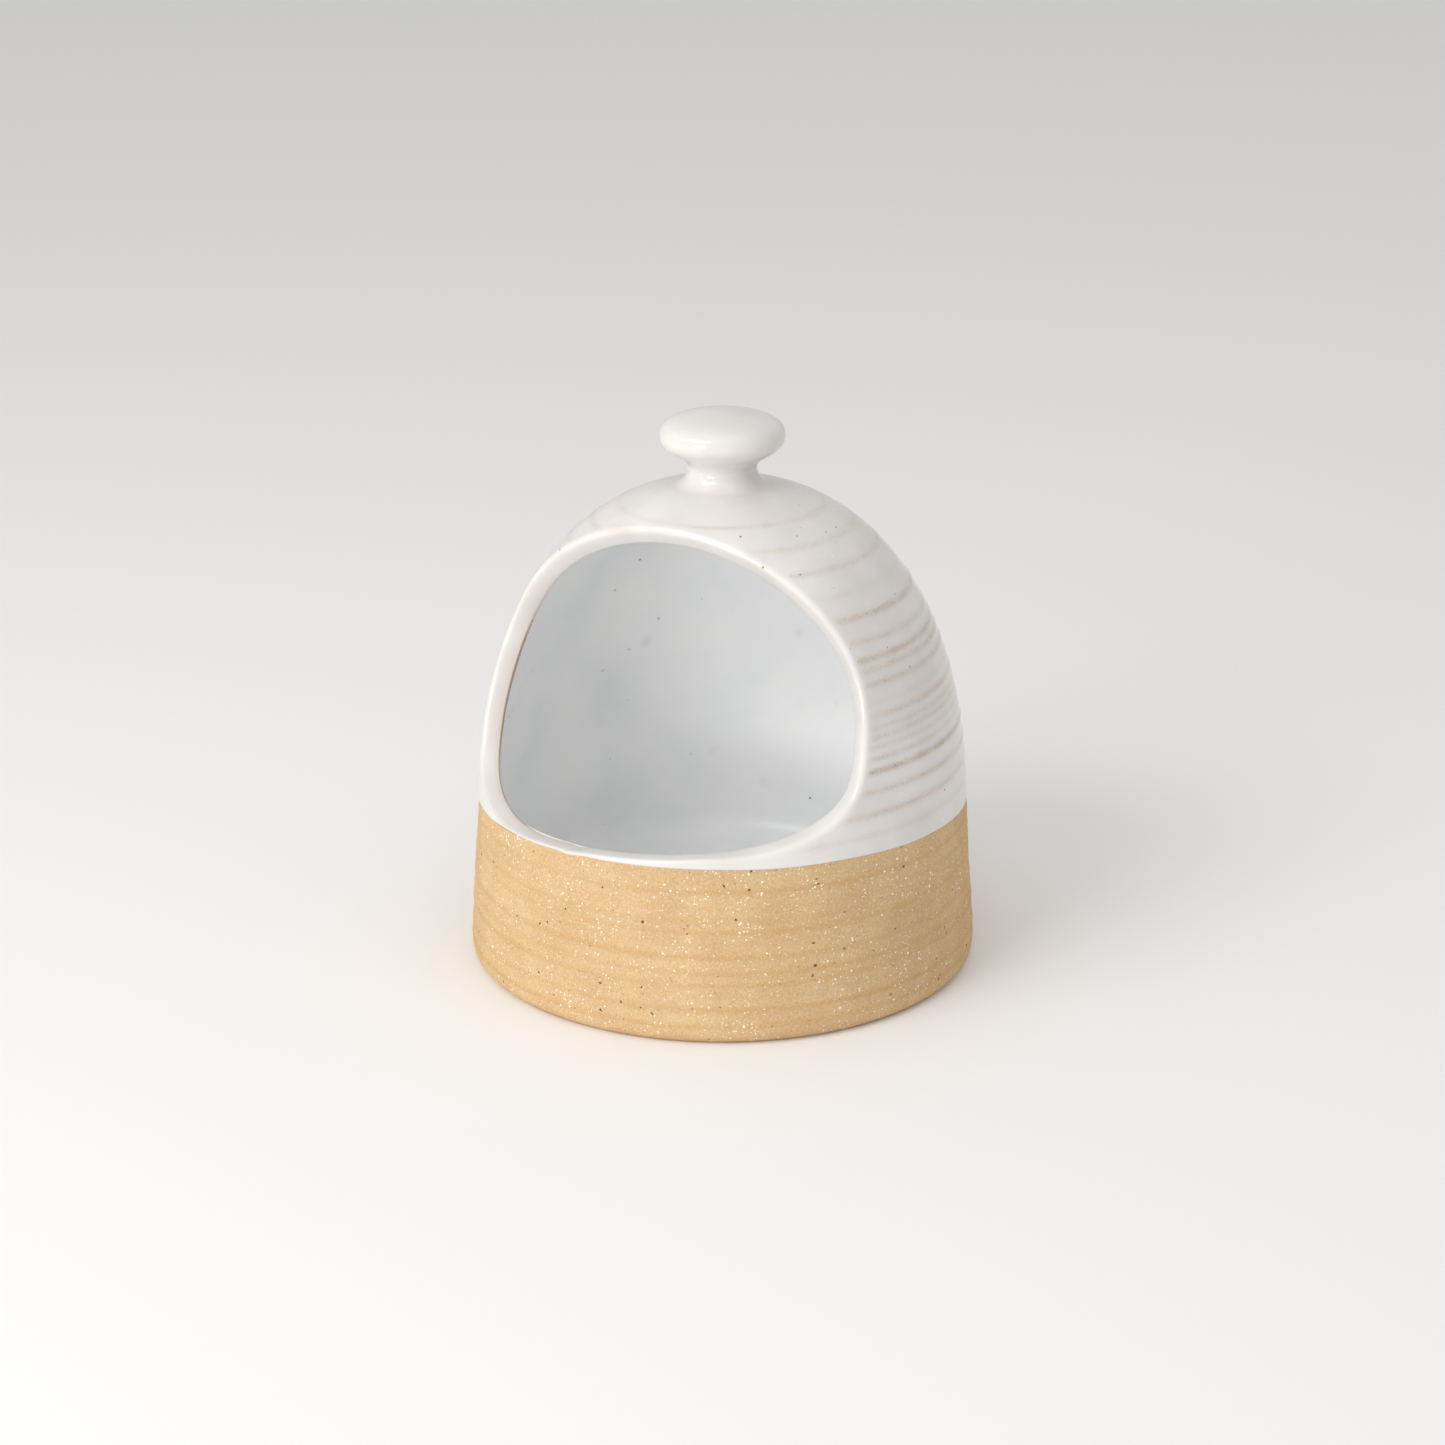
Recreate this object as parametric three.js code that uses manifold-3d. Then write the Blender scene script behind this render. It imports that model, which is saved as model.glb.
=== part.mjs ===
// A salt pig: a stoneware salt cellar thrown as one closed dome, with a wide mouth cut
// through its front and a knob luted on the crown. The lower wall is bare clay, the dome
// and the knob are glazed outside, and the whole inside is glazed.
// Millimetres, +Z up, origin at the centre of the foot, mouth towards -Y.

import * as THREE from 'three';
import { mergeVertices } from 'three/addons/utils/BufferGeometryUtils.js';
import Module from 'manifold-3d';

// Body
const footRadius = 65.6; // outside of the wall, carried straight down to the table
const wallDraft = 0.07; // radius lost for each millimetre of height
const wallThickness = 5;
const glazeLine = 43; // height where the bare clay ends and the glaze begins
const springRise = 3.5; // the wall stays straight this far above the glaze line
const crownHeight = 124.5; // top of the dome, under the knob
const riseExponent = 2.4; // the dome's curve is a superellipse, a little fuller than a circle
const turnExponent = 2.3;
const springHeight = glazeLine + springRise;

// Floor and foot
const floorThickness = 6;
const floorFillet = 8; // round between the floor and the inside of the wall
const footRounding = 3.5; // round between the wall and the table
const footRecess = 1; // the floor's underside stands this far clear of the table
const glazeThickness = 0.6; // the glaze coat over the floor and the inside of the lower wall

// Mouth, given by its edge on the inside of the wall
const mouthHalfAngle = 64; // degrees to each side of its middle, where the mouth is widest
const mouthShift = 2; // how far its middle lies left of the front
const sillRise = 2.7; // from the glaze line up to the mouth's lower edge
const browDrop = 10.5; // from the crown down to the mouth's upper edge
const mouthLowerHeight = 21.6; // from the sill up to the widest height
const mouthLowerExponent = 3.7; // the lower half is squarer than an ellipse, to give a flat sill
const mouthLean = 4; // degrees that the hand-cut mouth leans to the left, seen from the front
const mouthFocusDrop = 7.3; // the cut lip points to a spot this far below the widest height
const mouthFocusBack = 20; // and this far behind the axis
const mouthReach = 120; // how far out from that spot the cut is carried
const mouthWidest = glazeLine + sillRise + mouthLowerHeight;
const mouthUpperHeight = crownHeight - browDrop - mouthWidest;
const mouthFocus = mouthWidest - mouthFocusDrop;

// Knob
const knobStemRadius = 8.7;
const knobFlare = 4.5; // radius of the flare between the crown and the stem
const knobRadius = 15.7;
const knobUnderHeight = 8.2; // from the top of the flare up to the widest height
const knobStemSwell = 3.3; // how long the underside keeps to the stem
const knobRimDrop = 4.1; // how long the underside keeps to the rim
const knobTopHeight = 6.4; // from the widest height up to the top
const knobSideExponent = 2;
const knobTopExponent = 2.68;
const knobFootRadius = knobStemRadius + knobFlare;

// Faceting and fit
const bodySegments = 64;
const knobSegments = 48;
const domeRows = 16;
const jointGap = 0.05; // between neighbours that are fired together

const stoneware = { color: 0xcfa873, roughness: 0.92, metalness: 0 };
const whiteGlaze = { color: 0xe9e5e0, roughness: 0.16, metalness: 0 };
const insideGlaze = { color: 0xdcdcdb, roughness: 0.2, metalness: 0 };

const wasm = await Module();
wasm.setup();

const point = (radius, height) => new THREE.Vector2(radius, height);

// Outside radius of the straight wall, or of the same wall pushed in by an inset.
function wallRadius(height, inset = 0) {
  return footRadius - wallDraft * height - inset;
}

// Radius of the whole body, wall and dome.
function bodyRadius(height, inset = 0) {
  const rise = Math.max(0, (height - springHeight) / (crownHeight - inset - springHeight));
  const turn = Math.pow(Math.max(0, 1 - Math.pow(rise, riseExponent)), 1 / turnExponent);
  return wallRadius(height, inset) * turn;
}

// Height at which the dome has closed in to a given radius.
function domeHeight(radius, inset = 0) {
  let low = springHeight;
  let high = crownHeight - inset;
  for (let step = 0; step < 40; step += 1) {
    const middle = (low + high) / 2;
    if (bodyRadius(middle, inset) > radius) low = middle;
    else high = middle;
  }
  return low;
}

// Points of the dome's curve from the springing up to a top radius.
function domeCurve(topRadius, inset = 0) {
  const topHeight = domeHeight(topRadius, inset);
  const span = crownHeight - inset - springHeight;
  const topAngle = Math.asin(Math.pow((topHeight - springHeight) / span, riseExponent / 2));
  const points = [];
  for (let row = 0; row <= domeRows; row += 1) {
    const angle = (topAngle * row) / domeRows;
    const height = springHeight + span * Math.pow(Math.sin(angle), 2 / riseExponent);
    points.push(point(bodyRadius(height, inset), height));
  }
  return points;
}

// Points of a circular arc; angles in degrees, 0 pointing outwards and 90 up.
function arc(centreRadius, centreHeight, radius, from, to, steps) {
  const points = [];
  for (let step = 0; step <= steps; step += 1) {
    const angle = THREE.MathUtils.degToRad(from + ((to - from) * step) / steps);
    points.push(point(centreRadius + radius * Math.cos(angle), centreHeight + radius * Math.sin(angle)));
  }
  return points;
}

// A solid turned about the Z axis. The profile starts and ends on the axis, or closes.
function turned(profile, segments) {
  return new THREE.LatheGeometry(profile, segments).rotateX(Math.PI / 2);
}

function piece(name, geometry, finish) {
  const mesh = new THREE.Mesh(geometry, new THREE.MeshStandardMaterial(finish));
  mesh.name = name;
  return mesh;
}

function toSolid(geometry) {
  const bare = geometry.clone();
  bare.deleteAttribute('normal');
  bare.deleteAttribute('uv');
  const welded = mergeVertices(bare, 1e-4);
  return new wasm.Manifold(new wasm.Mesh({
    numProp: 3,
    vertProperties: new Float32Array(welded.attributes.position.array),
    triVerts: new Uint32Array(welded.index.array),
  }));
}

function toGeometry(solid) {
  const mesh = solid.getMesh();
  const geometry = new THREE.BufferGeometry();
  geometry.setAttribute('position', new THREE.BufferAttribute(mesh.vertProperties, 3));
  geometry.setIndex(new THREE.BufferAttribute(mesh.triVerts, 1));
  geometry.computeVertexNormals();
  return geometry;
}

// The bare clay wall with its foot. The round inside its heel belongs to it.
const heelRadius = wallRadius(floorThickness + floorFillet, wallThickness) - floorFillet;

function lowerWall() {
  const footCentre = wallRadius(footRounding) - footRounding;
  const profile = [
    point(heelRadius, 0),
    ...arc(footCentre, footRounding, footRounding, -90, 0, 5),
    point(wallRadius(glazeLine / 2), glazeLine / 2),
    point(wallRadius(glazeLine), glazeLine),
    point(wallRadius(glazeLine, wallThickness), glazeLine),
    ...arc(heelRadius, floorThickness + floorFillet, floorFillet, 0, -90, 6),
    point(heelRadius, 0),
  ];
  return piece('lower_wall', turned(profile, bodySegments), stoneware);
}

// The round floor inside the wall's heel, its underside clear of the table.
function floorDisc() {
  const edge = heelRadius - jointGap;
  const profile = [
    point(0, footRecess),
    point(edge, footRecess),
    point(edge, floorThickness),
    point(0, floorThickness),
  ];
  return piece('floor_disc', turned(profile, bodySegments), stoneware);
}

// The glaze coat that turns the bare lower wall and the floor white on the inside.
function innerGlaze() {
  const inside = wallThickness + jointGap + glazeThickness;
  const floorTop = floorThickness + jointGap + glazeThickness;
  const arcHeight = floorThickness + floorFillet;
  const profile = [
    point(0, floorThickness + jointGap),
    ...arc(heelRadius, arcHeight, floorFillet - jointGap, -90, 0, 6),
    point(wallRadius(glazeLine, wallThickness + jointGap), glazeLine),
    point(wallRadius(glazeLine, inside), glazeLine),
    ...arc(heelRadius, arcHeight, floorFillet - jointGap - glazeThickness, 0, -90, 6),
    point(0, floorTop),
  ];
  return piece('inner_glaze', turned(profile, bodySegments), insideGlaze);
}

// The mouth's edge on the inside of the wall, as points seen from the front.
function mouthEdge(steps) {
  const halfWidth = bodyRadius(mouthWidest, wallThickness)
    * Math.sin(THREE.MathUtils.degToRad(mouthHalfAngle));
  const lean = THREE.MathUtils.degToRad(mouthLean);
  const middle = point(0, mouthWidest);
  const edge = [];
  for (let step = 0; step < steps; step += 1) {
    const angle = (2 * Math.PI * step) / steps;
    const across = Math.cos(angle);
    const up = Math.sin(angle);
    const power = up > 0 ? 1 : 2 / mouthLowerExponent;
    const height = up > 0 ? mouthUpperHeight : mouthLowerHeight;
    const corner = point(
      halfWidth * Math.sign(across) * Math.pow(Math.abs(across), power),
      mouthWidest + height * Math.sign(up) * Math.pow(Math.abs(up), power),
    );
    corner.rotateAround(middle, lean);
    edge.push(corner.sub(point(mouthShift, 0)));
  }
  return edge;
}

// The cut is a cone of straight lines from a spot behind the axis through the mouth's edge,
// so the lip lies nearly square to the wall all the way round.
function mouthCutter() {
  const outline = mouthEdge(72).map((corner) => {
    const depth = Math.sqrt(bodyRadius(corner.y, wallThickness) ** 2 - corner.x ** 2);
    const spread = mouthReach / (depth + mouthFocusBack);
    return point(corner.x * spread, (corner.y - mouthFocus) * spread);
  });
  const start = mouthFocusBack + 5;
  const cutter = new THREE.ExtrudeGeometry(new THREE.Shape(outline), {
    depth: mouthReach - start,
    steps: 1,
    bevelEnabled: false,
  });
  const position = cutter.attributes.position;
  for (let index = 0; index < position.count; index += 1) {
    const outward = position.getZ(index) + start;
    const scale = outward / mouthReach;
    position.setXYZ(index, position.getX(index) * scale, position.getY(index) * scale, outward);
  }
  cutter.rotateX(Math.PI / 2);
  cutter.translate(0, mouthFocusBack, mouthFocus);
  return cutter;
}

// The glazed dome, with a flat seat on its crown for the knob.
const seatHeight = domeHeight(knobFootRadius);

function dome() {
  const foot = glazeLine + jointGap;
  const outer = domeCurve(knobFootRadius);
  const inner = domeCurve(knobStemRadius, wallThickness).reverse();
  const profile = [
    point(wallRadius(foot), foot),
    ...outer,
    point(0, seatHeight),
    point(0, crownHeight - wallThickness),
    ...inner,
    point(wallRadius(foot, wallThickness), foot),
    point(wallRadius(foot), foot),
  ];
  const shell = toSolid(turned(profile, bodySegments));
  return piece('dome', toGeometry(shell.subtract(toSolid(mouthCutter()))), whiteGlaze);
}

// The knob: a flared neck that swells into a wide flattened cap, one lump of clay.
function knob() {
  const foot = seatHeight + jointGap;
  const stemTop = foot + knobFlare;
  const widest = stemTop + knobUnderHeight;
  const underside = new THREE.CubicBezierCurve(
    point(knobStemRadius, stemTop),
    point(knobStemRadius, stemTop + knobStemSwell),
    point(knobRadius, widest - knobRimDrop),
    point(knobRadius, widest),
  );
  const top = [];
  for (let step = 1; step <= 8; step += 1) {
    const angle = (Math.PI / 2) * (step / 8);
    const out = step === 8 ? 0 : Math.pow(Math.cos(angle), 2 / knobSideExponent);
    const up = Math.pow(Math.sin(angle), 2 / knobTopExponent);
    top.push(point(knobRadius * out, widest + knobTopHeight * up));
  }
  const profile = [
    point(0, foot),
    ...arc(knobStemRadius + knobFlare, foot + knobFlare, knobFlare, -90, -180, 5),
    ...underside.getPoints(9).slice(1),
    ...top,
  ];
  return piece('knob', turned(profile, knobSegments), whiteGlaze);
}

const saltPig = new THREE.Group();
saltPig.add(lowerWall(), floorDisc(), innerGlaze(), dome(), knob());

export default saltPig;
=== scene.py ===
import math

import bmesh
import bpy
import numpy as np
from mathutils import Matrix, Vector


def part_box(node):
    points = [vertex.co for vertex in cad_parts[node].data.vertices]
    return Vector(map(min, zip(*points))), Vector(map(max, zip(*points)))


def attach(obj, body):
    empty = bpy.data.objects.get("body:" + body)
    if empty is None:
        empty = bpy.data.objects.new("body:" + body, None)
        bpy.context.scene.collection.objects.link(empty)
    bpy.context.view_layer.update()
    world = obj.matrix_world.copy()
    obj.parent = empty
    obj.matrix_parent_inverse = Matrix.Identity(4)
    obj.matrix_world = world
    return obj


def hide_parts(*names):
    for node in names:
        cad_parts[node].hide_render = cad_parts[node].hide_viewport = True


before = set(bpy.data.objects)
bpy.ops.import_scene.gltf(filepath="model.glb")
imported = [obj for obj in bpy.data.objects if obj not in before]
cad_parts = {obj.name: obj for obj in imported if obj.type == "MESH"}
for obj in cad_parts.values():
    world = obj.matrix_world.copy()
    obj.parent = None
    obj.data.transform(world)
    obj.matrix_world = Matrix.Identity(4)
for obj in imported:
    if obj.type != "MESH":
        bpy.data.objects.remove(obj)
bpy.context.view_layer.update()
MM = 0.001


# ---------------------------------------------------------------------------
# Camera: it looks a little down on the salt pig, from the right of its mouth,
# as across a kitchen worktop.
# ---------------------------------------------------------------------------
camera_turn = math.radians(24.5)
camera_tilt = math.radians(19.4)
camera_distance = 840 * MM
camera_aim = Vector((0, 0, 60.6 * MM))

camera_data = bpy.data.cameras.new("camera")
camera_data.lens = 81.8
camera_data.sensor_width = 36
camera = bpy.data.objects.new("camera", camera_data)
bpy.context.scene.collection.objects.link(camera)
camera_back = Vector((
    math.sin(camera_turn) * math.cos(camera_tilt),
    -math.cos(camera_turn) * math.cos(camera_tilt),
    math.sin(camera_tilt),
))
camera.location = camera_aim + camera_back * camera_distance
camera.rotation_euler = camera_back.to_track_quat("Z", "Y").to_euler()
bpy.context.scene.camera = camera
bpy.context.scene.view_settings.view_transform = "Standard"


# ---------------------------------------------------------------------------
# Lights: a low and a high softbox to the left of the camera, a large one above
# to the right, and a white room around them.
# ---------------------------------------------------------------------------
def add_softbox(name, turn, tilt, distance, width, height, power):
    """An area light aimed at the salt pig; turn and tilt in degrees, turn from the mouth."""
    light = bpy.data.lights.new(name, "AREA")
    light.shape = "RECTANGLE"
    light.size, light.size_y = width, height
    light.energy = power
    lamp = bpy.data.objects.new(name, light)
    a, e = math.radians(turn), math.radians(tilt)
    back = Vector((math.sin(a) * math.cos(e), -math.cos(a) * math.cos(e), math.sin(e)))
    lamp.location = camera_aim + back * distance
    lamp.rotation_euler = back.to_track_quat("Z", "Y").to_euler()
    bpy.context.scene.collection.objects.link(lamp)


add_softbox("key_softbox", -14, 6, 1.1, 0.4, 0.16, 3.0)
add_softbox("fill_softbox", -24, 38, 1.2, 0.8, 0.45, 5.2)
add_softbox("top_softbox", 50, 70, 1.3, 1.2, 1.2, 2.0)

world = bpy.data.worlds.new("white_room")
world.use_nodes = True
world.node_tree.nodes["Background"].inputs["Color"].default_value = (1, 1, 1, 1)
world.node_tree.nodes["Background"].inputs["Strength"].default_value = 0.62
bpy.context.scene.world = world


# ---------------------------------------------------------------------------
# Floor: a plain pale table top.
# ---------------------------------------------------------------------------
def linear(hex_colour):
    """An sRGB hex colour as linear RGBA."""
    channels = [int(hex_colour[i:i + 2], 16) / 255 for i in (1, 3, 5)]
    return tuple(c / 12.92 if c <= 0.04045 else ((c + 0.055) / 1.055) ** 2.4 for c in channels) + (1,)


def add_node(tree, kind, inputs=None, stops=None, **settings):
    """A node with its settings; an input is a value, or the socket that feeds it."""
    node = tree.nodes.new(kind)
    for name, value in settings.items():
        setattr(node, name, value)
    for key, value in (inputs or {}).items():
        if isinstance(value, bpy.types.NodeSocket):
            tree.links.new(value, node.inputs[key])
        else:
            node.inputs[key].default_value = value
    if stops:
        ramp = node.color_ramp
        while len(ramp.elements) < len(stops):
            ramp.elements.new(0.5)
        for element, (place, colour) in zip(ramp.elements, stops):
            element.position = place
            element.color = colour
    return node


def new_material(name):
    """A material with an empty tree but for its output and a Principled shader."""
    material = bpy.data.materials.new(name)
    material.use_nodes = True
    tree = material.node_tree
    tree.nodes.clear()
    shader = add_node(tree, "ShaderNodeBsdfPrincipled")
    add_node(tree, "ShaderNodeOutputMaterial", {"Surface": shader.outputs["BSDF"]})
    return material, tree, shader


def finish_mesh(bm, name, material, sharp=math.radians(38)):
    """The bmesh as a smooth-shaded object, with creases where its faces turn sharply."""
    for face in bm.faces:
        face.smooth = True
    for edge in bm.edges:
        edge.smooth = not (edge.is_manifold and edge.calc_face_angle() > sharp)
    mesh = bpy.data.meshes.new(name)
    bm.to_mesh(mesh)
    bm.free()
    mesh.materials.append(material)
    piece = bpy.data.objects.new(name, mesh)
    bpy.context.scene.collection.objects.link(piece)
    return piece


floor_material, tree, shader = new_material("pale_matt_board")
shader.inputs["Base Color"].default_value = linear("#f6f5f4")
shader.inputs["Roughness"].default_value = 0.9
bm = bmesh.new()
bmesh.ops.create_grid(bm, x_segments=2, y_segments=2, size=3.0)
finish_mesh(bm, "floor", floor_material)


# ---------------------------------------------------------------------------
# Lower wall: coarse, sandy stoneware thrown on the wheel and left bare. The
# fingers left low ridges round it, and grog and iron specks show in the clay.
# ---------------------------------------------------------------------------
wall_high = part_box("lower_wall")[1]
foot_rounding = 3.5 * MM
wall_draft = 0.07
foot_radius = wall_high.x + wall_draft * foot_rounding
glaze_height = wall_high.z
spring_height = glaze_height + 3.5 * MM
crown_height = 124.5 * MM
crown_power = 2.4
shoulder_power = 2.3
wall_thickness = 5 * MM
floor_thickness = 6 * MM
heel_rounding = 8 * MM


def body_radius(height, inset=0.0):
    """Radius of the wall and dome at a height, or of the same outline pushed in by an inset."""
    rise = np.clip((height - spring_height) / (crown_height - inset - spring_height), 0, 1)
    return (foot_radius - wall_draft * height - inset) * (1 - rise ** crown_power) ** (1 / shoulder_power)


def turn_of(points):
    """Angle of each point round the axis, 0 at the mouth and rising to the right of it."""
    return np.arctan2(points[:, 0], -points[:, 1])


# The pot was dipped by hand, so the glaze ends on a slightly tilted, wavering line.
glaze_tilt_turn = math.radians(24.5)
glaze_tilt_rise = 2.3 * MM
glaze_slope = glaze_tilt_rise / (foot_radius - wall_draft * glaze_height)
glaze_plane_height = glaze_height - 0.4 * MM
# The drip's direction and spread are in radians, left of the mouth's middle.
drip_turn = -0.215
drip_spread = 0.05
drip_length = 0.45 * MM


def glaze_plane(points):
    """Height of the tilted plane where the glaze ends, above each point."""
    across = points[:, 0] * math.sin(glaze_tilt_turn) - points[:, 1] * math.cos(glaze_tilt_turn)
    return glaze_plane_height + glaze_slope * across


def glaze_wave(turn):
    """How far the end of the glaze wavers above or below that plane, with one short drip."""
    wave = 0.16 * np.sin(2 * turn + 0.6) + 0.1 * np.sin(5 * turn + 2.0) + 0.07 * np.sin(11 * turn + 4.0)
    return wave * MM - drip_length * np.exp(-((turn - drip_turn) / drip_spread) ** 2)


def throwing_rings(path, turn, rings, width):
    """Height of the low ridges left by the fingers: rings gives each one's place and strength,
    and width how broad they are, all along the outline and in millimetres."""
    total = np.zeros_like(path)
    for number, (place, strength) in enumerate(rings):
        drift = 0.22 * np.sin(turn + 1.7 * number) + 0.1 * np.sin(3 * turn + 2.3 * number)
        fullness = 0.8 + 0.2 * np.sin(2 * turn + 4.1 * number)
        total += strength * fullness * np.exp(-(((path - place * MM) / MM - drift) / width) ** 2)
    return total


# Height up the wall in millimetres, and strength, of each ridge.
wall_rings = (
    (39.2, 0.8), (35.1, 0.4), (32.2, 0.6), (29.3, 0.8), (26.4, 0.3), (22.8, 0.9), (18.9, 0.8),
    (15.8, 1.0), (12.6, 0.2), (9.5, 1.0), (5.4, 1.0),
)
wall_ring_width = 0.8
ring_relief = 0.2 * MM
wall_steps = 400


def arc(centre_radius, centre_height, radius, start, end, steps):
    """Points of an arc in the XZ plane, in degrees, 0 outwards and 90 up."""
    angles = np.radians(np.linspace(start, end, steps + 1))
    return [(centre_radius + radius * math.cos(a), centre_height + radius * math.sin(a)) for a in angles]


def turned(profile, steps):
    """A bmesh spun about the axis from a profile of (radius, height) points."""
    bm = bmesh.new()
    verts = [bm.verts.new((radius, 0, height)) for radius, height in profile]
    edges = [bm.edges.new(pair) for pair in zip(verts, verts[1:])]
    if profile[0][0] > 0 and profile[-1][0] > 0:
        edges.append(bm.edges.new((verts[-1], verts[0])))
    bmesh.ops.spin(bm, geom=verts + edges, cent=(0, 0, 0), axis=(0, 0, 1), angle=2 * math.pi,
                   steps=steps, use_merge=True)
    bmesh.ops.remove_doubles(bm, verts=bm.verts, dist=1e-6)
    bmesh.ops.recalc_face_normals(bm, faces=bm.faces)
    return bm


def points_of(bm):
    """Where the vertices of a bmesh are."""
    return np.array([vert.co for vert in bm.verts])


def move_to(bm, points):
    """Moves the vertices of a bmesh to new places."""
    for vert, point in zip(bm.verts, points):
        vert.co = point


def speckle(tree, place, colour, cell, share, reach, tint, strength, soft, warp=None, drift=None):
    """Mixes one kind of spot into a colour: one in each of a share of the cells, the largest of
    them reaching so far across it. A warp makes them ragged, a drift makes some smaller."""
    if warp:
        bend = add_node(tree, "ShaderNodeVectorMath", {0: warp, 1: (cell * 0.3,) * 3}, operation="MULTIPLY")
        bent = add_node(tree, "ShaderNodeVectorMath", {0: place, 1: bend.outputs[0]}, operation="ADD")
        place = bent.outputs[0]
    cells = add_node(tree, "ShaderNodeTexVoronoi", {"Vector": place, "Scale": 1 / cell})
    chance = add_node(tree, "ShaderNodeSeparateColor", {"Color": cells.outputs["Color"]})
    size = add_node(tree, "ShaderNodeMapRange", {
        "Value": chance.outputs[0], "From Min": 1 - share, "From Max": 1.0, "To Min": 0.0, "To Max": reach})
    if drift:
        size = add_node(tree, "ShaderNodeMath", {0: size.outputs[0], 1: drift}, operation="MULTIPLY")
    within = add_node(tree, "ShaderNodeMath", {0: size.outputs[0], 1: cells.outputs["Distance"]},
                      operation="SUBTRACT")
    spot = add_node(tree, "ShaderNodeMapRange", {
        "Value": within.outputs[0], "From Min": 0.0, "From Max": soft, "To Min": 0.0, "To Max": strength})
    return add_node(tree, "ShaderNodeMix", {"Factor": spot.outputs[0], "A": colour, "B": linear(tint)},
                    data_type="RGBA").outputs["Result"]


def set_attribute(piece, name, values):
    """Stores one number for each vertex, for the material to read."""
    layer = piece.data.attributes.new(name, "FLOAT", "POINT")
    layer.data.foreach_set("value", np.asarray(values, dtype=np.float32))


foot_centre = wall_high.x - foot_rounding
heel_radius = foot_radius - wall_draft * (floor_thickness + heel_rounding) - wall_thickness - heel_rounding
glaze_bed = 0.4 * MM
clay_back = wall_thickness - glaze_bed
foot_chamfer = 0.5 * MM
wall_top = glaze_height + 3 * MM
wall_profile = [(heel_radius + foot_chamfer, 0.0)]
wall_profile += arc(foot_centre, foot_rounding, foot_rounding, -90, 0, 10)
wall_profile += [(float(body_radius(h)), h) for h in np.linspace(foot_rounding, wall_top, 96)[1:]]
wall_profile += [(float(body_radius(wall_top, clay_back)), wall_top)]
wall_profile += arc(heel_radius, floor_thickness + heel_rounding, heel_rounding + glaze_bed, 0, -90, 8)
wall_profile += [(heel_radius, foot_chamfer)]

bm = turned(wall_profile, wall_steps)
points = points_of(bm)
turns = turn_of(points)
radii = np.hypot(points[:, 0], points[:, 1])
outside = radii > body_radius(points[:, 2], wall_thickness / 2)
# The top of the wall follows the end of the glaze, which laps over it.
lap = 0.05 * MM
follow_start = 35 * MM
lift = np.clip((points[:, 2] - follow_start) / (wall_top - follow_start), 0, 1)
rise = lift * (glaze_plane(points) + lap + glaze_wave(turns) * outside - wall_top)
points[:, 2] += rise
points[:, :2] *= (1 - wall_draft * rise / np.maximum(radii, MM))[:, None]
# Ridges and a slow swell, which both die out at the foot, where the wall draws in a little.
ridge_middle = 0.35
ridge = throwing_rings(points[:, 2], turns, wall_rings, wall_ring_width)
swell = 0.09 * MM * np.sin(turns * 3 + points[:, 2] / MM * 0.21) * np.clip(points[:, 2] / (6 * MM), 0, 1)
relief = ring_relief * (ridge - ridge_middle) * np.clip((points[:, 2] - 1 * MM) / (3 * MM), 0, 1)
draw_in = 0.3 * MM * np.clip(1 - points[:, 2] / (9 * MM), 0, 1)
push = np.where(outside, relief + swell - draw_in, 0)
points[:, :2] *= (1 + push / np.maximum(radii, MM))[:, None]
move_to(bm, points)

# Bare speckled stoneware: fired iron-bearing clay with sand and grog. Matt and gritty, tan with
# slightly darker ridges, peppered with pale grog and a few dark iron specks.
clay, tree, shader = new_material("bare_speckled_stoneware")
place = add_node(tree, "ShaderNodeTexCoord").outputs["Object"]
ridge_line = add_node(tree, "ShaderNodeAttribute", attribute_name="ridge").outputs["Fac"]
cloud = add_node(tree, "ShaderNodeTexNoise", {"Vector": place, "Scale": 1 / (11 * MM), "Detail": 5.0})
grain = add_node(tree, "ShaderNodeTexNoise", {
    "Vector": place, "Scale": 1 / (0.5 * MM), "Detail": 3.0, "Roughness": 0.7})
tan = add_node(tree, "ShaderNodeValToRGB", {"Fac": cloud.outputs["Fac"]},
               stops=[(0.32, linear("#c9a67a")), (0.68, linear("#d5b78b"))])
sand = add_node(tree, "ShaderNodeValToRGB", {"Fac": grain.outputs["Fac"]},
                stops=[(0.3, linear("#a8804f")), (0.5, linear("#dcba8b")), (0.68, linear("#f7e6c8"))])
sandy = add_node(tree, "ShaderNodeMix", {
    "Factor": 0.3, "A": tan.outputs["Color"], "B": sand.outputs["Color"]}, data_type="RGBA")
ridge_mask = add_node(tree, "ShaderNodeMath", {0: ridge_line, 1: 0.5}, operation="MULTIPLY", use_clamp=True)
ridged = add_node(tree, "ShaderNodeMix", {
    "Factor": ridge_mask.outputs[0], "A": sandy.outputs["Result"], "B": linear("#c39a62")}, data_type="RGBA")
colour = ridged.outputs["Result"]
# The grog lies in drifts: more of it in some places than in others.
drift = add_node(tree, "ShaderNodeTexNoise", {"Vector": place, "Scale": 1 / (9 * MM), "Detail": 3.0})
drift = add_node(tree, "ShaderNodeMapRange", {
    "Value": drift.outputs["Fac"], "From Min": 0.35, "From Max": 0.65, "To Min": 0.45, "To Max": 1.0})
warp = add_node(tree, "ShaderNodeTexNoise", {"Vector": place, "Scale": 1 / (0.7 * MM), "Detail": 1.0})
rough_edged = {"soft": 0.06, "warp": warp.outputs["Color"]}
in_drifts = {"drift": drift.outputs[0], **rough_edged}
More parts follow.
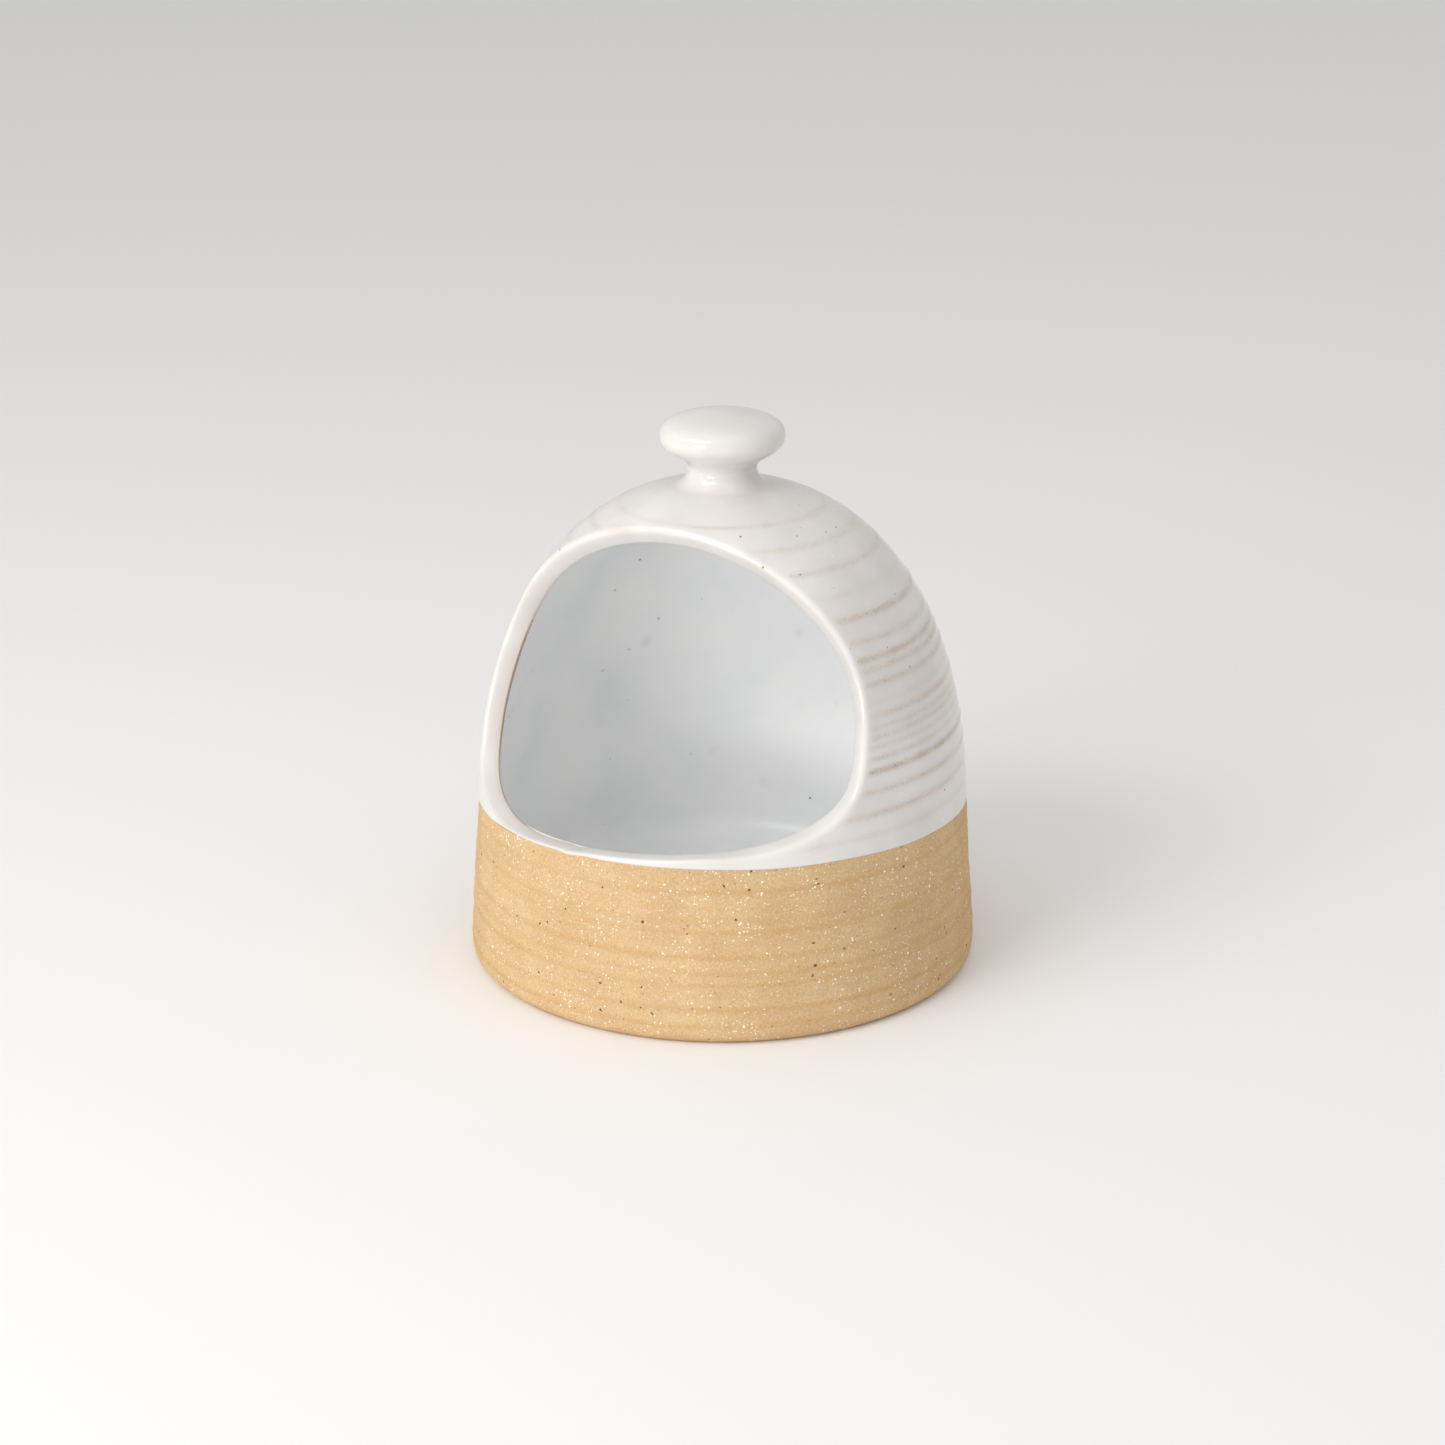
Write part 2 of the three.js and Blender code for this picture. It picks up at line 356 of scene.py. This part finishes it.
# Fine sand, grog, ochre grains and iron specks.
colour = speckle(tree, place, colour, 0.8 * MM, 0.75, 0.38, "#f8ecd4", 0.9, **in_drifts)
colour = speckle(tree, place, colour, 1.45 * MM, 0.9, 0.27, "#fffcf4", 1.0, **in_drifts)
colour = speckle(tree, place, colour, 1.7 * MM, 0.4, 0.2, "#9a7448", 0.6, **rough_edged)
colour = speckle(tree, place, colour, 2.7 * MM, 0.85, 0.17, "#54432f", 0.95, **rough_edged)
tree.links.new(colour, shader.inputs["Base Color"])
rough = add_node(tree, "ShaderNodeMapRange", {"Value": grain.outputs["Fac"], "To Min": 0.82, "To Max": 0.98})
tree.links.new(rough.outputs[0], shader.inputs["Roughness"])
shader.inputs["IOR"].default_value = 1.45
shader.inputs["Specular IOR Level"].default_value = 0.25
grit = add_node(tree, "ShaderNodeBump", {
    "Height": grain.outputs["Fac"], "Strength": 0.6, "Distance": 0.15 * MM})
tree.links.new(grit.outputs[0], shader.inputs["Normal"])

lower_wall = finish_mesh(bm, "lower_wall_bare_clay", clay)
set_attribute(lower_wall, "ridge", np.where(outside, ridge, 0))
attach(lower_wall, "root")
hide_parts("lower_wall")


# ---------------------------------------------------------------------------
# Floor disc: the underside of the pot, trimmed with a loop tool so that only
# the foot ring touches the table. Bare clay, with the tool's faint circles.
# ---------------------------------------------------------------------------
disc_low, disc_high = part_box("floor_disc")
trim_depth = 0.12 * MM
trim_pitch = 2.4 * MM
disc_edge = disc_high.x + 0.04 * MM
disc_rounding = 0.8 * MM
disc_profile = []
for radius in np.linspace(0, disc_edge - 1.5 * disc_rounding, 90):
    groove = trim_depth * (0.5 - 0.5 * math.cos(2 * math.pi * radius / trim_pitch))
    disc_profile.append((float(radius), disc_low.z + float(groove)))
disc_profile += arc(disc_edge - disc_rounding, disc_low.z + disc_rounding, disc_rounding, -90, 0, 4)
disc_profile += [(disc_edge, disc_high.z), (0.0, disc_high.z)]
underside = finish_mesh(turned(disc_profile, 160), "underside_trimmed_clay", clay)
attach(underside, "root")
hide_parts("floor_disc")


# ---------------------------------------------------------------------------
# Inner glaze: the white coat poured inside, over the floor, round the heel
# and up the back of the bare lower wall to where the dome begins.
# ---------------------------------------------------------------------------
poured_depth = 0.65 * MM
floor_top = floor_thickness + poured_depth
bowl_rounding = heel_rounding - poured_depth
bowl_centre = foot_radius - wall_draft * (floor_top + bowl_rounding) - wall_thickness - bowl_rounding
coat = 0.25 * MM
side_start = 22 * MM
rim_start = 25 * MM
bowl_profile = [(0.0, floor_top - coat)]
bowl_profile += arc(bowl_centre, floor_top + bowl_rounding, bowl_rounding + coat, -90, 0, 12)
for height in np.linspace(side_start, wall_top, 14):
    bowl_profile.append((float(body_radius(height, wall_thickness - coat)), float(height)))
for height in np.linspace(wall_top, side_start, 24):
    bowl_profile.append((float(body_radius(height, wall_thickness)), float(height)))
bowl_profile += arc(bowl_centre, floor_top + bowl_rounding, bowl_rounding, 0, -90, 16)
bowl_profile += [(float(r), floor_top) for r in np.linspace(bowl_centre, 0, 12)[1:]]
bm = turned(bowl_profile, 200)
# Its rim runs up a hair behind the dome's inner surface, over the joint with the bare wall.
rim_overlap = 0.6 * MM
rim_set_back = 0.01 * MM
points = points_of(bm)
radii = np.hypot(points[:, 0], points[:, 1])
lift = np.clip((points[:, 2] - rim_start) / (wall_top - rim_start), 0, 1)
rise = lift * (glaze_plane(points) + rim_overlap - wall_top)
points[:, 2] += rise
out = rim_set_back * np.clip((points[:, 2] - rim_start) / (15 * MM), 0, 1) - wall_draft * rise
points[:, :2] *= (1 + out / np.maximum(radii, MM))[:, None]
move_to(bm, points)

# Inside glaze: the same tin-white glaze, poured thick and even, so it is smooth and cool in the shade,
# with a few soft grey-blue clouds and small specks that have bled through. Its white is much lighter
# than the dipped glaze outside: partly the thicker glaze, partly painted fill light for the shaded inside.
inside_glaze, tree, shader = new_material("poured_white_glaze")
place = add_node(tree, "ShaderNodeTexCoord").outputs["Object"]
cloud = add_node(tree, "ShaderNodeTexNoise", {"Vector": place, "Scale": 1 / (26 * MM), "Detail": 3.0})
# Painted fill light in part: these whites are set lighter than the dipped glaze's to brighten the shaded
# inside.
base = add_node(tree, "ShaderNodeValToRGB", {"Fac": cloud.outputs["Fac"]},
                stops=[(0.3, linear("#eff1f2")), (0.5, linear("#f6f6f6")), (0.7, linear("#f9f9f8"))])
colour = base.outputs["Color"]
colour = speckle(tree, place, colour, 13 * MM, 0.9, 0.2, "#c9d0d4", 0.35, soft=0.2)
colour = speckle(tree, place, colour, 6 * MM, 0.9, 0.11, "#a0a4a7", 0.6, soft=0.06)
colour = speckle(tree, place, colour, 9 * MM, 0.9, 0.05, "#5d6063", 0.85, soft=0.02)
tree.links.new(colour, shader.inputs["Base Color"])
shader.inputs["Roughness"].default_value = 0.3
shader.inputs["IOR"].default_value = 1.5
ripple = add_node(tree, "ShaderNodeTexNoise", {"Vector": place, "Scale": 1 / (9 * MM), "Detail": 2.0})
soft_bump = add_node(tree, "ShaderNodeBump", {
    "Height": ripple.outputs["Fac"], "Strength": 0.25, "Distance": 0.3 * MM})
tree.links.new(soft_bump.outputs[0], shader.inputs["Normal"])

bowl = finish_mesh(bm, "inside_bowl_glaze", inside_glaze)
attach(bowl, "root")
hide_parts("inner_glaze")


# ---------------------------------------------------------------------------
# Dome: the closed top of the pot, thrown in one with the wall. While the clay
# was leather hard the mouth was cut through its front and the cut edge was
# sponged round; then pot and mouth were dipped in white glaze.
# ---------------------------------------------------------------------------
mouth_half_angle = math.radians(64)
mouth_shift = 2 * MM
mouth_lower = 21.6 * MM
mouth_lower_power = 3.7
sill_rise = 2.7 * MM
brow_drop = 10.5 * MM
mouth_widest = glaze_height + sill_rise + mouth_lower
mouth_upper = crown_height - brow_drop - mouth_widest
mouth_half_width = float(body_radius(mouth_widest, wall_thickness)) * math.sin(mouth_half_angle)
mouth_lean = math.radians(4)
cut_focus = np.array([0, 20 * MM, mouth_widest - 7.3 * MM])
glaze_proud = 0.25 * MM
around = 400
back_rows = 205
lip_rows = 14
inner_rows = 44

# The mouth's edge on the inside of the wall, seen from the front, as a distance from its middle
# for each direction round it.
angles = np.linspace(0, 2 * math.pi, 1441)
across, up = np.cos(angles), np.sin(angles)
power = np.where(up > 0, 1, 2 / mouth_lower_power)
edge_x = mouth_half_width * np.sign(across) * np.abs(across) ** power
edge_z = np.where(up > 0, mouth_upper, mouth_lower) * np.sign(up) * np.abs(up) ** power
leant_x = edge_x * math.cos(mouth_lean) - edge_z * math.sin(mouth_lean) - mouth_shift
leant_z = edge_x * math.sin(mouth_lean) + edge_z * math.cos(mouth_lean)
edge_direction = np.unwrap(np.arctan2(leant_z, leant_x))
edge_distance = np.hypot(leant_x, leant_z)


def reach_of(profile):
    """For an outline of revolution, its distance from the mouth's middle height on the axis,
    as a function of the angle of elevation."""
    radius = np.array([p[0] for p in profile])
    height = np.array([p[1] for p in profile]) - mouth_widest
    elevation = np.arctan2(height, radius)
    order = np.argsort(elevation)
    distance = np.hypot(radius, height)
    return lambda angle: np.interp(angle, elevation[order], distance[order])


curve = np.linspace(0, math.pi / 2, 900)
rise = np.sin(curve) ** (2 / crown_power)
outer_heights = spring_height + (crown_height - spring_height) * rise
inner_heights = spring_height + (crown_height - wall_thickness - spring_height) * rise
outer_reach = reach_of(
    [(0, 0), (foot_radius, 0)]
    + [(body_radius(h), h) for h in np.linspace(0, spring_height, 200)]
    + [(body_radius(h), h) for h in outer_heights]
)
inner_reach = reach_of(
    [(r, floor_top) for r in np.linspace(0, bowl_centre, 60)]
    + arc(bowl_centre, floor_top + bowl_rounding, bowl_rounding, -90, 0, 60)
    + [(body_radius(h, wall_thickness), h) for h in np.linspace(15 * MM, spring_height, 200)]
    + [(body_radius(h, wall_thickness), h) for h in inner_heights]
)


def glazed_reach(angle):
    """The outside of the glaze, just proud of the clay's outside."""
    return outer_reach(angle) + glaze_proud


def on_surface(away, roll, reach):
    """Points of a surface of revolution; away is the angle from the mouth's axis, roll the
    direction round it, both seen from the mouth's middle height on the axis."""
    x = np.sin(away) * np.cos(roll)
    y = -np.cos(away)
    z = np.sin(away) * np.sin(roll)
    distance = reach(np.arctan2(z, np.hypot(x, y)))
    return np.stack([x * distance, y * distance, z * distance + mouth_widest], axis=-1)


def away_and_roll(points):
    """The two angles of on_surface for each point."""
    x, y, z = points[:, 0], points[:, 1], points[:, 2] - mouth_widest
    return np.arctan2(np.hypot(x, z), -y), np.arctan2(z, x)


def unit(vectors):
    """Each vector at a length of 1."""
    return vectors / np.linalg.norm(vectors, axis=1)[:, None]


# One column for each direction round the mouth, closer together at the sides, where the
# columns cross the throwing rings.
fraction = np.arange(around + 1) / around
roll = 2 * math.pi * fraction - 0.2 * np.sin(4 * math.pi * fraction)
wrapped = np.mod(roll - edge_direction[0], 2 * math.pi) + edge_direction[0]
edge = np.interp(wrapped, edge_direction, edge_distance)
edge_height = mouth_widest + edge * np.sin(roll)
edge_depth = np.sqrt(body_radius(edge_height, wall_thickness) ** 2 - (edge * np.cos(roll)) ** 2)
arris = np.stack([edge * np.cos(roll), -edge_depth, edge_height], axis=-1)
arris_away, arris_roll = away_and_roll(arris)

# At each column: out of the wall, along the mouth's edge, and away from the mouth.
mouth_middle = np.array([0, 0, mouth_widest])
nudge = 1e-4
beside = on_surface(arris_away + nudge, arris_roll, inner_reach)
edge_way = np.roll(arris[:-1], -1, axis=0) - np.roll(arris[:-1], 1, axis=0)
edge_way = unit(np.vstack([edge_way, edge_way[:1]]))
away_way = beside - on_surface(arris_away, arris_roll, inner_reach)
outward = unit(np.cross(edge_way, away_way))
outward *= np.sign(np.sum(outward * (arris - mouth_middle), axis=1))[:, None]
away_way = unit(np.cross(edge_way, outward))
away_way *= np.sign(np.sum(away_way * (beside - arris), axis=1))[:, None]

# The lip's section: a small round at the inner edge, then a broad sponged round to the outside.
# It is tight along the sill, where the glaze ends just under it.
sill_end = math.radians(66)
sill_blend = math.radians(24)
from_sill = np.abs(np.mod(roll + 1.5 * math.pi, 2 * math.pi) - math.pi)
sill = np.clip((sill_end - from_sill) / sill_blend, 0, 1)
sill = sill * sill * (3 - 2 * sill)
lip_width = (1.9 - 0.9 * sill) * MM
inner_round = 0.6 * MM
inner_share = 0.28
lip_depth = wall_thickness + glaze_proud
# The knife was held towards a spot behind the axis, so the cut leans a little from the wall's normal.
cut_way = unit(arris - cut_focus)
cut_way = unit(cut_way * (1 - sill)[:, None] + outward * sill[:, None])
cut_way /= np.sum(cut_way * outward, axis=1)[:, None]


def lip_section(step):
    """Distance away from the mouth and out from the inner surface, at a step from 0 to 1."""
    if step < inner_share:
        angle = math.radians(-90 - 90 * step / inner_share)
        along = inner_round + inner_round * math.cos(angle) + np.zeros(around + 1)
        return along, inner_round + inner_round * math.sin(angle) + np.zeros(around + 1)
    angle = math.pi / 2 * (step - inner_share) / (1 - inner_share)
    flat = lip_depth - inner_round - lip_width
    along = lip_width * (1 - math.cos(angle))
    return along, inner_round + flat * min(1, angle * 2.2) ** 0.9 + lip_width * math.sin(angle)


lip_end = arris + lip_width[:, None] * away_way + lip_depth * cut_way
end_away, end_roll = away_and_roll(lip_end)
end_gap = on_surface(end_away, end_roll, glazed_reach) - lip_end
lip_start = arris + inner_round * away_way
start_away, start_roll = away_and_roll(lip_start)
start_gap = on_surface(start_away, start_roll, inner_reach) - lip_start

# Rows from the back of the dome to the lip, round the lip, and along the inside to the back.
# Each keeps its distance from the lip, with marks of its own for the lip and for the inside.
dome_size = 60 * MM
lip_mark = 1 * MM
inside_mark = 10 * MM
inside_limit = -8 * MM
rows = []
row_from_lip = []
for step in np.linspace(0, 1, back_rows + 1):
    ease = 1 - (1 - step) ** 1.25
    away = math.pi + (end_away - math.pi) * ease
    rows.append(on_surface(away, end_roll, glazed_reach))
    row_from_lip.append((away - end_away) * dome_size)
for step in np.linspace(1, 0, lip_rows + 1)[1:]:
    along, out = lip_section(step)
    share = (out / lip_depth)[:, None]
    row = arris + along[:, None] * away_way + out[:, None] * cut_way
    rows.append(row + end_gap * share + start_gap * (1 - share) ** 8)
    row_from_lip.append(np.full(around + 1, -lip_mark * (1 - step)))
for step in np.linspace(0, 1, inner_rows + 1)[1:]:
    away = start_away + (math.pi - start_away) * step ** 1.3
    rows.append(on_surface(away, start_roll, inner_reach))
    row_from_lip.append(np.full(around + 1, -inside_mark))
rows = np.array(rows)
row_from_lip = np.array(row_from_lip)
row_count = len(rows) - 1

bm = bmesh.new()
bmesh.ops.create_grid(bm, x_segments=around, y_segments=row_count, size=0.5)
grid = points_of(bm)
column_index = np.rint((grid[:, 0] + 0.5) * around).astype(int)
row_index = np.rint((grid[:, 1] + 0.5) * row_count).astype(int)
from_lip = bm.verts.layers.float.new("from_lip")
move_to(bm, rows[row_index, column_index])
for vert, distance in zip(bm.verts, row_from_lip[row_index, column_index]):
    vert[from_lip] = distance
bmesh.ops.remove_doubles(bm, verts=bm.verts, dist=2e-6)
bmesh.ops.recalc_face_normals(bm, faces=bm.faces)

# The dome is kept above the tilted plane where the glaze ends, with a few extra edge loops
# just above it for the glaze's rounded edge.
glaze_edge = 0.7 * MM
plane_normal = Vector((
    -glaze_slope * math.sin(glaze_tilt_turn),
    glaze_slope * math.cos(glaze_tilt_turn),
    1,
)).normalized()
for above in (glaze_edge, 0.35 * MM, 0.12 * MM, 0.0):
    bmesh.ops.bisect_plane(
        bm, geom=bm.verts[:] + bm.edges[:] + bm.faces[:], dist=1e-7,
        plane_co=Vector((0, 0, glaze_plane_height + above)), plane_no=plane_normal,
        clear_inner=above == 0.0,
    )
open_edges = [edge for edge in bm.edges if edge.is_boundary]
bmesh.ops.bridge_loops(bm, edges=open_edges)
bmesh.ops.recalc_face_normals(bm, faces=bm.faces)

# Height on the dome in millimetres, and strength, of each ridge. The distances between them
# are measured along the curve of the dome.
dome_rings = (
    (119.4, 0.4), (115.1, 0.4), (110.2, 0.7), (104.8, 0.2), (99.5, 0.9), (94.5, 0.8), (90.8, 1.0),
    (87.9, 0.8), (84.8, 1.2), (81.0, 0.2), (77.8, 0.8), (74.8, 0.7), (72.8, 0.55), (70.6, 0.6),
    (68.0, 0.7), (64.6, 1.2), (60.0, 1.0), (54.9, 0.8), (49.3, 0.3),
)
dome_ring_width = 0.85
profile_heights = np.concatenate([np.linspace(35 * MM, spring_height, 100)[:-1], outer_heights])
profile_steps = np.hypot(np.diff(profile_heights), np.diff(body_radius(profile_heights)))
profile_path = np.concatenate([[0], np.cumsum(profile_steps)])


def path_at(height):
    """How far along the dome's outline a height is reached."""
    return np.interp(height, profile_heights, profile_path)


points = points_of(bm)
turns = turn_of(points)
radii = np.hypot(points[:, 0], points[:, 1])
lip_distance = np.array([vert[from_lip] for vert in bm.verts])
outside = lip_distance > inside_limit
ring_places = [(float(path_at(place * MM)) / MM, strength) for place, strength in dome_rings]
# The ridges fade out over the lip, where the cut edge was sponged smooth.
ridge = throwing_rings(path_at(points[:, 2]), turns, ring_places, dome_ring_width)
fade = np.clip((lip_distance + 0.7 * MM) / (2.4 * MM), 0, 1)
ridge *= fade * fade * (3 - 2 * fade)
push = np.where(outside, ring_relief * ridge, 0)
points += unit(points - mouth_middle) * push[:, None]
# The glaze ends in a thin rounded edge that wavers a little up and down the clay.
above = points[:, 2] - glaze_plane(points)
edge_round = np.clip(1 - above / glaze_edge, 0, 1)
tuck = np.where(outside, (glaze_proud + lap) * (1 - np.sqrt(1 - edge_round ** 2)), 0)
points[:, :2] *= (1 - tuck / np.maximum(radii, MM))[:, None]
points[:, 2] += np.where(outside, glaze_wave(turns) * np.clip(1 - above / (5 * MM), 0, 1) ** 2, 0)
move_to(bm, points)
# The glaze has run thin on the mouth's inner edge, most of all at the lower left.
worn = np.clip(0.5 - points[:, 0] / (70 * MM) - (points[:, 2] - mouth_widest) / (60 * MM), 0.06, 1)
near_sill = np.clip((mouth_widest - 8 * MM - points[:, 2]) / (8 * MM), 0, 1)
arris_place = (-0.84 + 0.055 * near_sill) * lip_mark
arris_width = (0.2 - 0.09 * near_sill) * lip_mark
arris_line = worn * np.exp(-((lip_distance - arris_place) / arris_width) ** 2) * (lip_distance < 0)
# It is thin in a small sandy patch on the lip's upper left too.
patch_middle = (-15.8 * MM, 116.4 * MM)
patch_size = (4.5 * MM, 1.2 * MM)
patch_across = (points[:, 0] - patch_middle[0]) / patch_size[0]
patch_up = (points[:, 2] - patch_middle[1]) / patch_size[1]
thin_patch = 0.6 * np.exp(-patch_across ** 2 - patch_up ** 2) * (points[:, 1] < 0)
arris_line = np.maximum(arris_line, np.where(outside, thin_patch, 0))

# Dipped white glaze: a glossy tin-white glaze, warm where it is thin. It breaks to a sandy beige
# over the ridges, with pinholes, and to a brown hairline on the mouth's inner edge.
white_glaze, tree, shader = new_material("dipped_white_glaze")
place = add_node(tree, "ShaderNodeTexCoord").outputs["Object"]
ridge_line = add_node(tree, "ShaderNodeAttribute", attribute_name="ridge").outputs["Fac"]
edge_line = add_node(tree, "ShaderNodeAttribute", attribute_name="arris").outputs["Fac"]
cloud = add_node(tree, "ShaderNodeTexNoise", {"Vector": place, "Scale": 1 / (18 * MM), "Detail": 3.0})
base = add_node(tree, "ShaderNodeValToRGB", {"Fac": cloud.outputs["Fac"]},
                stops=[(0.35, linear("#dcd8d4")), (0.62, linear("#e4e1de"))])
streak = add_node(tree, "ShaderNodeTexNoise", {"Vector": place, "Scale": 1 / (7 * MM), "Detail": 3.0})
broken = add_node(tree, "ShaderNodeMapRange", {
    "Value": streak.outputs["Fac"], "From Min": 0.35, "From Max": 0.65, "To Min": 0.45, "To Max": 0.85})
thin = add_node(tree, "ShaderNodeMath", {0: ridge_line, 1: broken.outputs[0]}, operation="MULTIPLY",
                use_clamp=True)
beige = add_node(tree, "ShaderNodeMix", {
    "Factor": thin.outputs[0], "A": base.outputs["Color"], "B": linear("#bfaf99")}, data_type="RGBA")
holes = add_node(tree, "ShaderNodeTexVoronoi", {"Vector": place, "Scale": 1 / (0.8 * MM)})
hole_size = add_node(tree, "ShaderNodeMapRange", {
    "Value": holes.outputs["Distance"], "From Min": 0.18, "From Max": 0.32, "To Min": 0.8, "To Max": 0.0})
hole_mask = add_node(tree, "ShaderNodeMath", {0: hole_size.outputs[0], 1: thin.outputs[0]},
                     operation="MULTIPLY", use_clamp=True)
pinned = add_node(tree, "ShaderNodeMix", {
    "Factor": hole_mask.outputs[0], "A": beige.outputs["Result"], "B": linear("#9c8464")}, data_type="RGBA")
worn_mask = add_node(tree, "ShaderNodeMath", {0: edge_line, 1: 0.5}, operation="MULTIPLY", use_clamp=True)
sandy = add_node(tree, "ShaderNodeMix", {
    "Factor": worn_mask.outputs[0], "A": pinned.outputs["Result"], "B": linear("#cfb89f")}, data_type="RGBA")
edge_mask = add_node(tree, "ShaderNodeMapRange", {
    "Value": edge_line, "From Min": 0.72, "From Max": 0.95, "To Min": 0.0, "To Max": 0.85})
edged = add_node(tree, "ShaderNodeMix", {
    "Factor": edge_mask.outputs[0], "A": sandy.outputs["Result"], "B": linear("#9c7d60")}, data_type="RGBA")
colour = edged.outputs["Result"]
colour = speckle(tree, place, colour, 9 * MM, 0.9, 0.09, "#ebe9e6", 0.8, soft=0.05)
colour = speckle(tree, place, colour, 3.9 * MM, 0.85, 0.1, "#6b5f4e", 0.85, soft=0.03)
tree.links.new(colour, shader.inputs["Base Color"])
shader.inputs["Roughness"].default_value = 0.07
shader.inputs["IOR"].default_value = 1.5
ripple = add_node(tree, "ShaderNodeTexNoise", {"Vector": place, "Scale": 1 / (6 * MM), "Detail": 2.0})
soft_bump = add_node(tree, "ShaderNodeBump", {
    "Height": ripple.outputs["Fac"], "Strength": 0.3, "Distance": 0.25 * MM})
tree.links.new(soft_bump.outputs[0], shader.inputs["Normal"])

dome = finish_mesh(bm, "dome_dipped_glaze", white_glaze)
dome.data.materials.append(inside_glaze)
# The inside has the poured glaze's look, with its lighter white that is partly painted fill light.
for face in dome.data.polygons:
    if max(lip_distance[v] for v in face.vertices) < inside_limit:
        face.material_index = 1
set_attribute(dome, "ridge", ridge)
set_attribute(dome, "arris", arris_line)
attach(dome, "root")
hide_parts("dome")


# ---------------------------------------------------------------------------
# Knob: a mushroom of clay luted onto the crown and turned to a smooth flare.
# The glaze runs over it from the dome without a break.
# ---------------------------------------------------------------------------
knob_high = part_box("knob")[1]
knob_radius = knob_high.x
stem_radius = 8.7 * MM
flare = 4.5 * MM
crown_slope = math.radians(12)
flare_foot = stem_radius + flare * (1 - math.sin(crown_slope))
crown_there = float(np.interp(-flare_foot, -body_radius(outer_heights), outer_heights)) + glaze_proud
stem_top = crown_there + flare * math.cos(crown_slope)
knob_cap = 6.4 * MM
knob_widest = knob_high.z - knob_cap
stem_swell = 3.3 * MM
rim_swell = 4.1 * MM
knob_top_power = 2.68
sunk = crown_there - 1.5 * MM
knob_profile = [(0.0, sunk), (flare_foot - 0.2 * MM, sunk)]
knob_profile += arc(stem_radius + flare, stem_top, flare, 270 - math.degrees(crown_slope), 180, 18)
# The underside is a cubic curve that leaves the stem upright and comes to the rim upright.
handles = np.array([
    (stem_radius, stem_top),
    (stem_radius, stem_top + stem_swell),
    (knob_radius, knob_widest - rim_swell),
    (knob_radius, knob_widest),
])
for t in np.linspace(0, 1, 33)[1:]:
    shares = np.array([(1 - t) ** 3, 3 * t * (1 - t) ** 2, 3 * t ** 2 * (1 - t), t ** 3])
    knob_profile.append(tuple(float(place) for place in shares @ handles))
for angle in np.linspace(0, math.pi / 2, 40)[1:-1]:
    knob_profile.append((
        knob_radius * math.cos(angle),
        knob_widest + (knob_high.z - knob_widest) * math.sin(angle) ** (2 / knob_top_power),
    ))
knob_profile.append((0.0, knob_high.z))
knob = finish_mesh(turned(knob_profile, 160), "knob_glazed", white_glaze)
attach(knob, "root")
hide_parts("knob")
